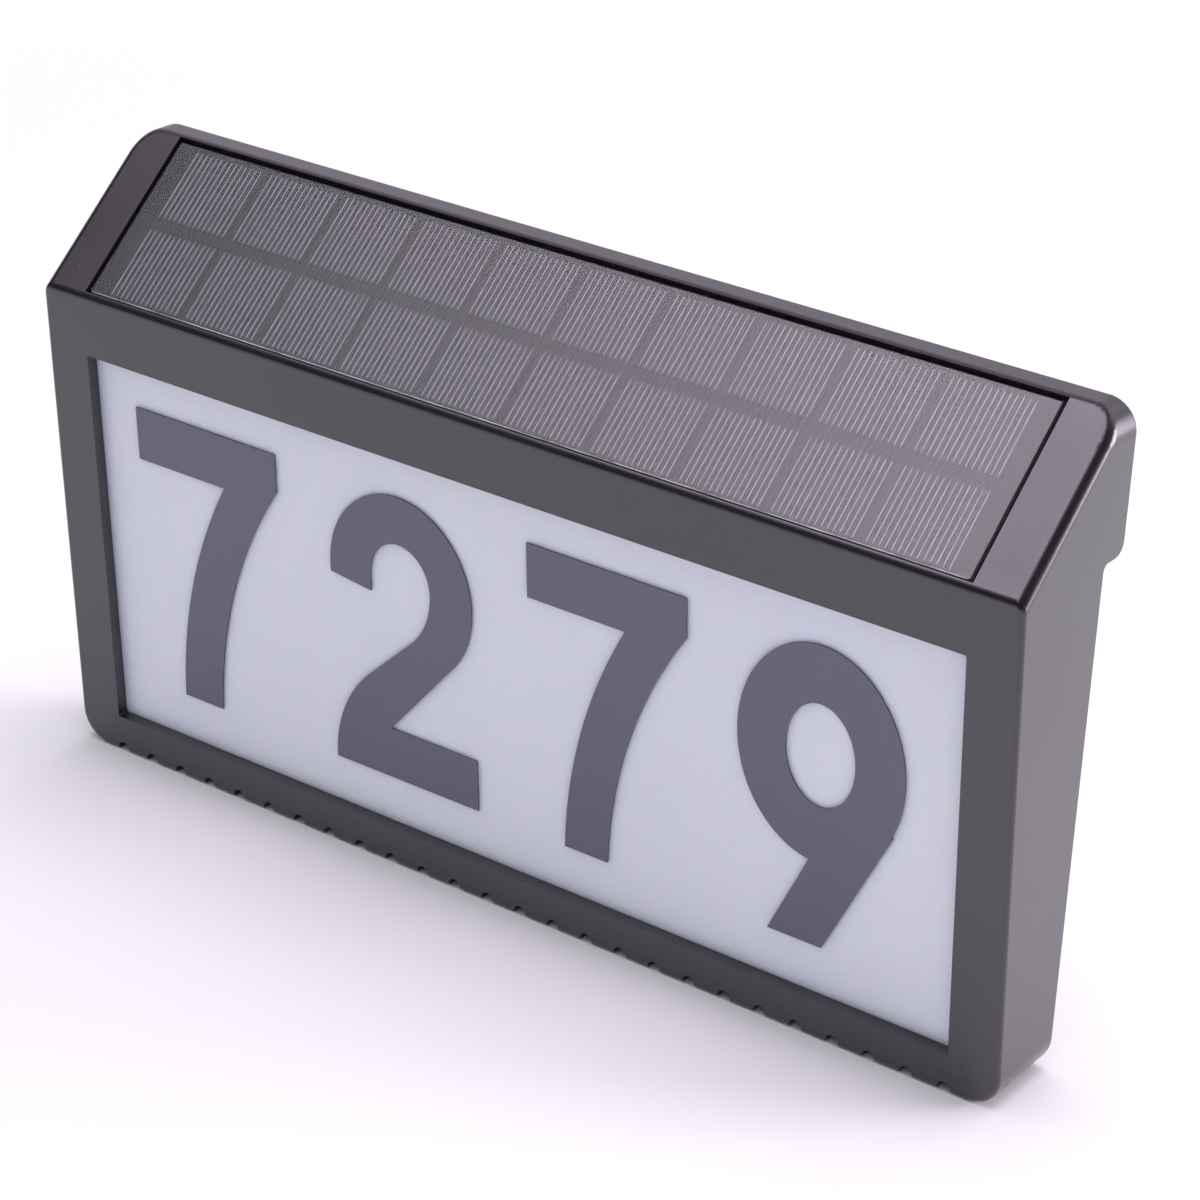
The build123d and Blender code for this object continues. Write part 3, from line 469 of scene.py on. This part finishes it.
class HOUSESIGN_OT_housing(SignOperator):
    """Finish the housing, the rear cover, its gasket and the push button"""

    bl_idname = "housesign.housing"
    bl_label = "Housing"

    def execute(self, context):
        s = self.settings.housing
        shell = moulded(
            "Satin black ABS", s.shell, s.shell_pale, s.roughness, s.grain,
            edge=0.25, dust=0.25, specular=0.75,
        )
        polish = principled(shell).inputs
        polish["Coat Weight"].default_value = 0.5
        polish["Coat Roughness"].default_value = 0.28
        polish["Specular Tint"].default_value = (0.96, 0.90, 1.0, 1.0)
        rear = moulded(
            "Textured black ABS", s.rear, s.shell_pale, 0.55, s.rear_grain,
            depth=0.03 * MM, edge=0.3, dust=0.3,
        )
        rubber = moulded(
            "Black rubber", (0.018, 0.018, 0.019), (0.04, 0.04, 0.041), 0.62, 0.3 * MM, edge=0.2
        )
        silicone = moulded(
            "Grey silicone", (0.16, 0.16, 0.17), (0.22, 0.22, 0.23), 0.58, 0.4 * MM, edge=0.1
        )
        dress(shell, "housing")
        dress(rear, "rear_cover")
        dress(rubber, "mode_button")
        dress(silicone, "button_seal", "cover_gasket")
        return {"FINISHED"}


class HOUSESIGN_OT_number_panel(SignOperator):
    """Finish the opal panel and its numerals"""

    bl_idname = "housesign.number_panel"
    bl_label = "Number panel"

    def execute(self, context):
        s = self.settings.panel
        opal, g, shader = new_material("Opal acrylic")
        moulding = g.group("Moulded grain", size=2.5 * MM)
        cloud = g.noise(g.place(), 11.0, detail=2.0)
        tone = g.mix(g.span(cloud, 0.35, 0.65), rgba(s.opal), rgba(s.opal_shade))
        g.feed(shader["Base Color"], tone)
        g.feed(shader["Roughness"], g.span(moulding["Patches"], 0.0, 1.0, 0.36, 0.42))
        g.feed(shader["Normal"], g.bump(moulding["Height"], 0.01 * MM))
        shader["Subsurface Weight"].default_value = 1.0
        shader["Subsurface Radius"].default_value = (1.0, 0.85, 0.6)
        shader["Subsurface Scale"].default_value = s.glow_depth
        vinyl = moulded(
            "Grey vinyl", s.numeral, scaled(s.numeral, 1.12), s.numeral_roughness, 0.8 * MM,
            edge=0.6, specular=1.0,
        )
        dress(opal, "diffuser_panel")
        dress(vinyl, "numeral_7_left", "numeral_2", "numeral_7_right", "numeral_9")
        return {"FINISHED"}


class HOUSESIGN_OT_solar_panel(SignOperator):
    """Finish the solar panel and print the lines on its cells"""

    bl_idname = "housesign.solar_panel"
    bl_label = "Solar panel"

    def execute(self, context):
        s = self.settings.solar
        dress(self.silicon(s), "solar_cells")
        dress(self.resin(s), "solar_cover")
        backing = moulded(
            "Black board", s.backing, scaled(s.backing, 1.2), 0.55, 0.5 * MM,
            edge=0.0, specular=0.15,
        )
        dress(backing, "solar_backing")
        piece("cell_fingers", self.fingers(s), self.silver(s))
        piece("resin_rim", self.rim(), self.rim_resin(s))
        return {"FINISHED"}

    def silicon(self, s):
        material, g, shader = new_material("Silicon")
        crystals = g.add("ShaderNodeTexVoronoi", feature="F1")
        g.feed(crystals.inputs["Vector"], g.place())
        crystals.inputs["Scale"].default_value = 700.0
        split = g.add("ShaderNodeSeparateColor")
        g.feed(split.inputs[0], crystals.outputs["Color"])
        g.feed(shader["Base Color"], g.mix(split.outputs[0], rgba(s.silicon), rgba(s.silicon_pale)))
        g.feed(shader["Roughness"], g.span(split.outputs[1], 0.0, 1.0, 0.5, 0.65))
        shader["Specular IOR Level"].default_value = 0.15
        return material

    def silver(self, s):
        """Printed paste, patchy along its lines."""
        material, g, shader = new_material("Printed silver")
        patches = g.span(g.noise(g.place(), 330.0, detail=3.0), 0.3, 0.7)
        g.feed(shader["Base Color"], g.mix(patches, rgba(scaled(s.silver, 0.6)), rgba(s.silver)))
        g.feed(shader["Roughness"], g.span(patches, 0.0, 1.0, 0.7, 0.5))
        g.feed(shader["Normal"], g.bump(g.noise(g.place(), 4000.0), 0.01 * MM))
        shader["Specular IOR Level"].default_value = 0.2
        return material

    def resin(self, s):
        """Clear resin: gloss over what lies below, a milky tint, and nothing on its inner faces."""
        material, g, shader = new_material("Clear resin")
        ripples = g.noise(g.place(), 900.0, detail=3.0, roughness=0.6)
        cloud = g.span(g.noise(g.place(), 60.0, detail=4.0), 0.3, 0.7, 0.8, 1.2)
        g.feed(shader["Base Color"], g.mix(cloud, rgba(scaled(s.haze, 0.9)), rgba(s.haze)))
        shader["Roughness"].default_value = 0.6
        gloss = g.add("ShaderNodeBsdfAnisotropic")
        gloss.inputs["Color"].default_value = rgba(WHITE)
        gloss.inputs["Roughness"].default_value = s.resin_roughness
        g.feed(gloss.inputs["Normal"], g.bump(ripples, 0.005 * MM))
        clear = g.add("ShaderNodeBsdfTransparent").outputs[0]
        fresnel = g.add("ShaderNodeFresnel")
        fresnel.inputs["IOR"].default_value = 1.75
        glazed = g.layer(fresnel.outputs[0], clear, gloss.outputs[0])
        milky = principled(material).outputs[0]
        hazy = g.layer(g.math("MULTIPLY", cloud, s.haze_share), glazed, milky)
        backfacing = g.add("ShaderNodeNewGeometry").outputs["Backfacing"]
        show(material, g, g.layer(backfacing, hazy, clear))
        return material

    def rim_resin(self, s):
        """Glossy rim that the resin leaves where it was poured, its colour lit up in patches as a
        painted highlight.
        """
        material, g, shader = new_material("Resin rim")
        patches = g.span(g.noise(g.place(), 120.0, detail=4.0), 0.35, 0.65)
        # painted highlight: the rim's colour rises in patches from 0.7 to 2.6 times the haze
        tone = g.mix(patches, rgba(scaled(s.haze, 0.7)), rgba(scaled(s.haze, 2.6)))
        g.feed(shader["Base Color"], tone)
        g.feed(shader["Roughness"], g.span(patches, 0.0, 1.0, 0.10, 0.28))
        g.feed(shader["Normal"], g.bump(g.noise(g.place(), 700.0, detail=3.0), 0.03 * MM))
        shader["Coat Weight"].default_value = 1.0
        shader["Coat Roughness"].default_value = 0.08
        return material

    def rim(self):
        """Uneven round bead along the lower edge of the resin."""
        frame_of_cells, _ = slope_frame()
        up_the_slope = frame_of_cells.col[1].to_3d()
        low_edge = Vector((0.0, COVER_LOW.y, COVER_LOW.z))
        edge = (low_edge - frame_of_cells.translation).dot(up_the_slope)
        length_of_bead = COVER_HIGH.x - COVER_LOW.x - 1.4 * MM
        inset, sink, flatness = 0.55 * MM, 0.04 * MM, 0.6
        steps, sides, radius = 240, 8, 0.16 * MM
        draw = random.Random(7)
        bm = bmesh.new()
        rings = []
        for step in range(steps + 1):
            x = (step / steps - 0.5) * length_of_bead
            swell = radius * draw.uniform(0.75, 1.1)
            ring = []
            for side in range(sides):
                turn = 2 * math.pi * side / sides
                y = edge + inset + swell * math.cos(turn)
                z = RESIN_OVER_CELLS - sink + swell * flatness * math.sin(turn)
                ring.append(bm.verts.new(frame_of_cells @ Vector((x, y, z))))
            rings.append(ring)
        for one, two in zip(rings, rings[1:]):
            for side in range(sides):
                following = (side + 1) % sides
                bm.faces.new((one[side], two[side], two[following], one[following]))
        bm.faces.new(rings[0])
        bm.faces.new(reversed(rings[-1]))
        bmesh.ops.recalc_face_normals(bm, faces=bm.faces)
        for face in bm.faces:
            face.smooth = True
        return bm

    def fingers(self, s):
        """Flat printed bars on every cell, in the gap under the resin."""
        frame_of_cells, run = slope_frame()
        column_pitch = (CELLS_HIGH.x - CELLS_LOW.x - CELL_WIDTH) / (CELL_COLUMNS - 1)
        row_pitch = (run - CELL_LENGTH) / (CELL_ROWS - 1)
        height = 0.03 * MM
        bm = bmesh.new()
        for column in range(CELL_COLUMNS):
            for row in range(CELL_ROWS):
                for line in range(s.fingers):
                    x = (column - (CELL_COLUMNS - 1) / 2) * column_pitch
                    x += (line - (s.fingers - 1) / 2) * s.finger_pitch
                    y = (row - (CELL_ROWS - 1) / 2) * row_pitch
                    bar = Matrix.Translation((x, y, height / 2))
                    shape = Matrix.Diagonal((s.finger_width, s.finger_length, height, 1.0))
                    bmesh.ops.create_cube(bm, size=1.0, matrix=frame_of_cells @ bar @ shape)
        return bm


class HOUSESIGN_OT_light_box(SignOperator):
    """Finish the light box, its LED boards and their chips"""

    bl_idname = "housesign.light_box"
    bl_label = "Light box"

    def execute(self, context):
        white = moulded(
            "White ABS", (0.78, 0.78, 0.77), (0.84, 0.84, 0.83), 0.5, 0.5 * MM, edge=0.1
        )
        mask = moulded(
            "White solder mask", (0.74, 0.75, 0.73), (0.80, 0.81, 0.79), 0.35, 0.6 * MM, edge=0.0
        )
        dress(white, "light_tray")
        dress(mask, "led_strip_upper", "led_strip_lower")
        dress(self.phosphor(), "led_chips")
        return {"FINISHED"}

    def phosphor(self):
        """Yellow phosphor of the LED packages."""
        material, g, shader = new_material("LED phosphor")
        grain = g.group("Moulded grain", size=0.25 * MM)
        tone = g.mix(grain["Patches"], (0.78, 0.66, 0.22, 1.0), (0.84, 0.74, 0.34, 1.0))
        g.feed(shader["Base Color"], tone)
        g.feed(shader["Normal"], g.bump(grain["Height"], 0.01 * MM))
        shader["Roughness"].default_value = 0.3
        return material


class HOUSESIGN_OT_power(SignOperator):
    """Finish the cell, its cradle and its contacts"""

    bl_idname = "housesign.power"
    bl_label = "Battery"

    def execute(self, context):
        cradle = moulded(
            "Grey ABS", (0.06, 0.06, 0.062), (0.09, 0.09, 0.092), 0.5, 0.5 * MM, edge=0.3
        )
        nickel = metal("Nickel", (0.50, 0.48, 0.44), (0.66, 0.64, 0.60), 0.3)
        dress(cradle, "battery_cradle")
        dress(nickel, "contact_plate", "contact_spring")
        dress(self.wrap(), "battery_cell")
        return {"FINISHED"}

    def wrap(self):
        """Shrink sleeve in plain blue green, and bare metal at both ends of the cell."""
        material, g, shader = new_material("Shrink sleeve")
        low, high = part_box("battery_cell")
        along = g.add("ShaderNodeSeparateXYZ")
        g.feed(along.inputs[0], g.place())
        left_bare, right_bare = 1.0 * MM, 1.8 * MM
        past_left = g.math("LESS_THAN", along.outputs["X"], low.x + left_bare)
        past_right = g.math("GREATER_THAN", along.outputs["X"], high.x - right_bare)
        bare = g.math("MAXIMUM", past_left, past_right)
        moulding = g.group("Moulded grain", size=1.2 * MM)
        sleeve = g.mix(moulding["Patches"], (0.020, 0.145, 0.165, 1.0), (0.028, 0.175, 0.195, 1.0))
        g.feed(shader["Base Color"], g.mix(bare, sleeve, (0.62, 0.61, 0.59, 1.0)))
        g.feed(shader["Metallic"], bare)
        g.feed(shader["Roughness"], g.span(moulding["Patches"], 0.0, 1.0, 0.26, 0.34))
        g.feed(shader["Normal"], g.bump(moulding["Height"], 0.01 * MM))
        return material


class HOUSESIGN_OT_electronics(SignOperator):
    """Finish the control board, what it carries and the leads"""

    bl_idname = "housesign.electronics"
    bl_label = "Electronics"

    def execute(self, context):
        epoxy = moulded(
            "Black epoxy", (0.012, 0.012, 0.013), (0.03, 0.03, 0.031), 0.45, 0.2 * MM, edge=0.1
        )
        ferrite = moulded(
            "Ferrite", (0.045, 0.042, 0.042), (0.08, 0.076, 0.074), 0.6, 0.3 * MM, edge=0.3
        )
        nylon = moulded(
            "Cream nylon", (0.66, 0.62, 0.50), (0.74, 0.70, 0.58), 0.5, 0.4 * MM, edge=0.1
        )
        switch = moulded(
            "Switch nylon", (0.05, 0.05, 0.052), (0.08, 0.08, 0.082), 0.5, 0.3 * MM, edge=0.2
        )
        can = metal("Capacitor can", (0.60, 0.60, 0.62), (0.74, 0.74, 0.76), 0.35)
        dress(epoxy, "charge_chip")
        dress(ferrite, "inductor")
        dress(nylon, "lead_connectors")
        dress(switch, "switch_body", "switch_plunger")
        dress(can, "capacitors")
        dress(self.board(), "control_board")
        dress(self.sleeve(), "solar_leads", "battery_leads", "led_leads", "strip_link_leads")
        return {"FINISHED"}

    def board(self):
        """Green solder mask over a grid of tracks."""
        material, g, shader = new_material("Green solder mask")
        moulding = g.group("Moulded grain", size=0.4 * MM)
        turned = g.add("ShaderNodeMapping")
        g.feed(turned.inputs["Vector"], g.place())
        turned.inputs["Rotation"].default_value = (math.radians(90), 0.0, 0.0)
        tracks = g.add("ShaderNodeTexBrick")
        g.feed(tracks.inputs["Vector"], turned.outputs[0])
        layout = {"Scale": 160.0, "Mortar Size": 0.06, "Brick Width": 0.9, "Row Height": 0.4}
        for key, value in layout.items():
            tracks.inputs[key].default_value = value
        mask = g.mix(moulding["Patches"], (0.010, 0.085, 0.040, 1.0), (0.014, 0.105, 0.050, 1.0))
        g.feed(shader["Base Color"], g.mix(tracks.outputs["Fac"], mask, (0.030, 0.170, 0.080, 1.0)))
        g.feed(shader["Normal"], g.bump(tracks.outputs["Fac"], 0.03 * MM))
        shader["Roughness"].default_value = 0.32
        return material

    def sleeve(self):
        """Soft sleeve, red on one lead of a pair and black on the other."""
        material, g, shader = new_material("Lead sleeve")
        island = g.add("ShaderNodeNewGeometry").outputs["Random Per Island"]
        red = g.math("GREATER_THAN", island, 0.5)
        moulding = g.group("Moulded grain", size=0.6 * MM)
        dark = g.mix(moulding["Patches"], (0.012, 0.012, 0.012, 1.0), (0.022, 0.022, 0.022, 1.0))
        bright = g.mix(moulding["Patches"], (0.42, 0.022, 0.018, 1.0), (0.50, 0.032, 0.026, 1.0))
        g.feed(shader["Base Color"], g.mix(red, dark, bright))
        g.feed(shader["Normal"], g.bump(moulding["Height"], 0.01 * MM))
        shader["Roughness"].default_value = 0.42
        return material


class HOUSESIGN_OT_fasteners(SignOperator):
    """Finish the screws"""

    bl_idname = "housesign.fasteners"
    bl_label = "Screws"

    def execute(self, context):
        zinc = metal("Zinc plate", (0.55, 0.56, 0.58), (0.70, 0.71, 0.73), 0.32)
        black = metal("Black zinc plate", (0.06, 0.06, 0.065), (0.11, 0.11, 0.115), 0.36)
        dress(zinc, "tray_screws", "cradle_screws", "board_screws")
        dress(black, "cover_screws")
        return {"FINISHED"}


class HOUSESIGN_OT_stage(SignOperator):
    """Set up the camera, the pale floor and the soft light"""

    bl_idname = "housesign.stage"
    bl_label = "Stage"

    def execute(self, context):
        s = self.settings.stage
        scene = context.scene
        scene.view_settings.view_transform = "Standard"
        self.camera(scene, s)
        self.floor(scene, s)
        self.surroundings(scene, s)
        for name, place, size, watts, tone, mirrored in (
            ("overhead_box", (0.05, 0.10, 1.45), 1.1, s.overhead, WHITE, False),
            ("key_box", (0.55, 0.85, 1.25), 0.9, s.key, WHITE, True),
            ("side_box", (1.2, 0.9, 0.35), 0.7, s.side, s.side_tone, True),
        ):
            self.soft_box(scene, name, place, size, watts, tone, mirrored)
        return {"FINISHED"}

    def camera(self, scene, s):
        data = bpy.data.cameras.new("camera")
        data.lens = s.lens
        data.sensor_width = 36.0
        data.clip_start = 0.01
        data.clip_end = 50.0
        camera = bpy.data.objects.new("camera", data)
        camera.location = s.camera_place
        camera.rotation_euler = s.camera_turn
        scene.collection.objects.link(camera)
        scene.camera = camera

    def floor(self, scene, s):
        half_width, segments = 4.0, 8
        bm = bmesh.new()
        bmesh.ops.create_grid(bm, x_segments=segments, y_segments=segments, size=half_width)
        mesh = bpy.data.meshes.new("floor")
        bm.to_mesh(mesh)
        bm.free()
        floor = bpy.data.objects.new("floor", mesh)
        scene.collection.objects.link(floor)
        material, g, shader = new_material("Pale floor")
        mottle = g.noise(g.place(), 3.0, detail=2.0)
        g.feed(shader["Base Color"], g.mix(mottle, rgba(s.floor), rgba(scaled(s.floor, 1.01))))
        shader["Roughness"].default_value = 0.85
        shader["Specular IOR Level"].default_value = 0.2
        # far from the sign the floor fades into plain white, for the camera and in reflections
        fade_from, fade_to = 0.22, 0.75
        far = g.span(g.vector("LENGTH", g.place(), output="Value"), fade_from, fade_to)
        path = g.add("ShaderNodeLightPath").outputs
        seen = g.math("MAXIMUM", path["Is Camera Ray"], path["Is Glossy Ray"])
        seen = g.math("MAXIMUM", seen, path["Is Transmission Ray"])
        white = g.add("ShaderNodeEmission")
        white.inputs["Strength"].default_value = 1.0
        near = principled(material).outputs[0]
        show(material, g, g.layer(g.math("MULTIPLY", far, seen), near, white.outputs[0]))
        mesh.materials.append(material)

    def surroundings(self, scene, s):
        world = bpy.data.worlds.new("surroundings")
        world.use_nodes = True
        scene.world = world
        g = Graph(world.node_tree)
        path = g.add("ShaderNodeLightPath").outputs
        mirrored = path["Is Glossy Ray"]
        seen = g.math("MAXIMUM", path["Is Camera Ray"], path["Is Transmission Ray"])
        brightness = g.choose(mirrored, s.world_strength, self.mirrored_room(g, s))
        shade = g.mix(mirrored, rgba(s.world), rgba(s.world_mirrored))
        background = world.node_tree.nodes["Background"].inputs
        g.feed(background["Strength"], g.choose(seen, brightness, 1.0))
        g.feed(background["Color"], g.mix(seen, shade, rgba(WHITE)))

    def mirrored_room(self, g, s):
        """Brightness of the room in reflections, by direction."""
        direction = g.add("ShaderNodeTexCoord").outputs["Generated"]
        split = g.add("ShaderNodeSeparateXYZ")
        g.feed(split.inputs[0], direction)
        # dark before the sign and far to the right, bright behind it
        behind = g.span(split.outputs["Y"], 0.0, 0.5, s.room_dark, s.room_bright)
        behind = g.math("MULTIPLY", behind, g.span(split.outputs["X"], 0.35, 0.7, 1.0, 0.1))
        # a soft glow where the right end of the slope mirrors
        glow_direction = Vector((-0.30, -0.28, 0.91)).normalized()
        nearness = g.vector("DOT_PRODUCT", direction, tuple(glow_direction), output="Value")
        return g.math("ADD", behind, g.span(nearness, 0.925, 1.0, 0.0, s.room_glow))

    def soft_box(self, scene, name, place, size, watts, tone, mirrored):
        """Square lamp that faces the sign."""
        data = bpy.data.lights.new(name, "AREA")
        data.shape = "SQUARE"
        data.size = size
        data.energy = watts
        data.color = tone
        box = bpy.data.objects.new(name, data)
        box.visible_glossy = mirrored
        box.location = place
        box.rotation_euler = (AIM - Vector(place)).to_track_quat("-Z", "Y").to_euler()
        scene.collection.objects.link(box)


# ---- panel and registration ---------------------------------------------------------


class HouseSignSettings(bpy.types.PropertyGroup):
    housing: PointerProperty(
        type=HousingSettings, name="Housing", description="Finish of the housing"
    )
    panel: PointerProperty(
        type=PanelSettings, name="Panel", description="Finish of the number panel"
    )
    solar: PointerProperty(
        type=SolarSettings, name="Solar", description="Finish of the solar panel"
    )
    stage: PointerProperty(
        type=StageSettings, name="Stage", description="Camera, floor and light"
    )


STEPS = (
    HOUSESIGN_OT_effects,
    HOUSESIGN_OT_stage,
    HOUSESIGN_OT_housing,
    HOUSESIGN_OT_number_panel,
    HOUSESIGN_OT_solar_panel,
    HOUSESIGN_OT_light_box,
    HOUSESIGN_OT_power,
    HOUSESIGN_OT_electronics,
    HOUSESIGN_OT_fasteners,
)


class HOUSESIGN_PT_sidebar(bpy.types.Panel):
    """Steps and settings of the house number sign"""

    bl_idname = "HOUSESIGN_PT_sidebar"
    bl_label = "House Sign"
    bl_space_type = "VIEW_3D"
    bl_region_type = "UI"
    bl_category = "House Sign"

    def draw(self, context):
        for step in STEPS:
            self.layout.operator(step.bl_idname)
        for group in ("housing", "panel", "solar", "stage"):
            box = self.layout.box()
            settings = getattr(context.scene.house_sign, group)
            for name in settings.bl_rna.properties.keys():
                if name not in {"rna_type", "name"}:
                    box.prop(settings, name)


CLASSES = (
    HousingSettings,
    PanelSettings,
    SolarSettings,
    StageSettings,
    HouseSignSettings,
    *STEPS,
    HOUSESIGN_PT_sidebar,
)


def register():
    for cls in CLASSES:
        bpy.utils.register_class(cls)
    bpy.types.Scene.house_sign = PointerProperty(type=HouseSignSettings)


def unregister():
    del bpy.types.Scene.house_sign
    for cls in reversed(CLASSES):
        bpy.utils.unregister_class(cls)


def main():
    register()
    for step in STEPS:
        namespace, name = step.bl_idname.split(".")
        getattr(getattr(bpy.ops, namespace), name)()


if __name__ == "__main__":
    main()
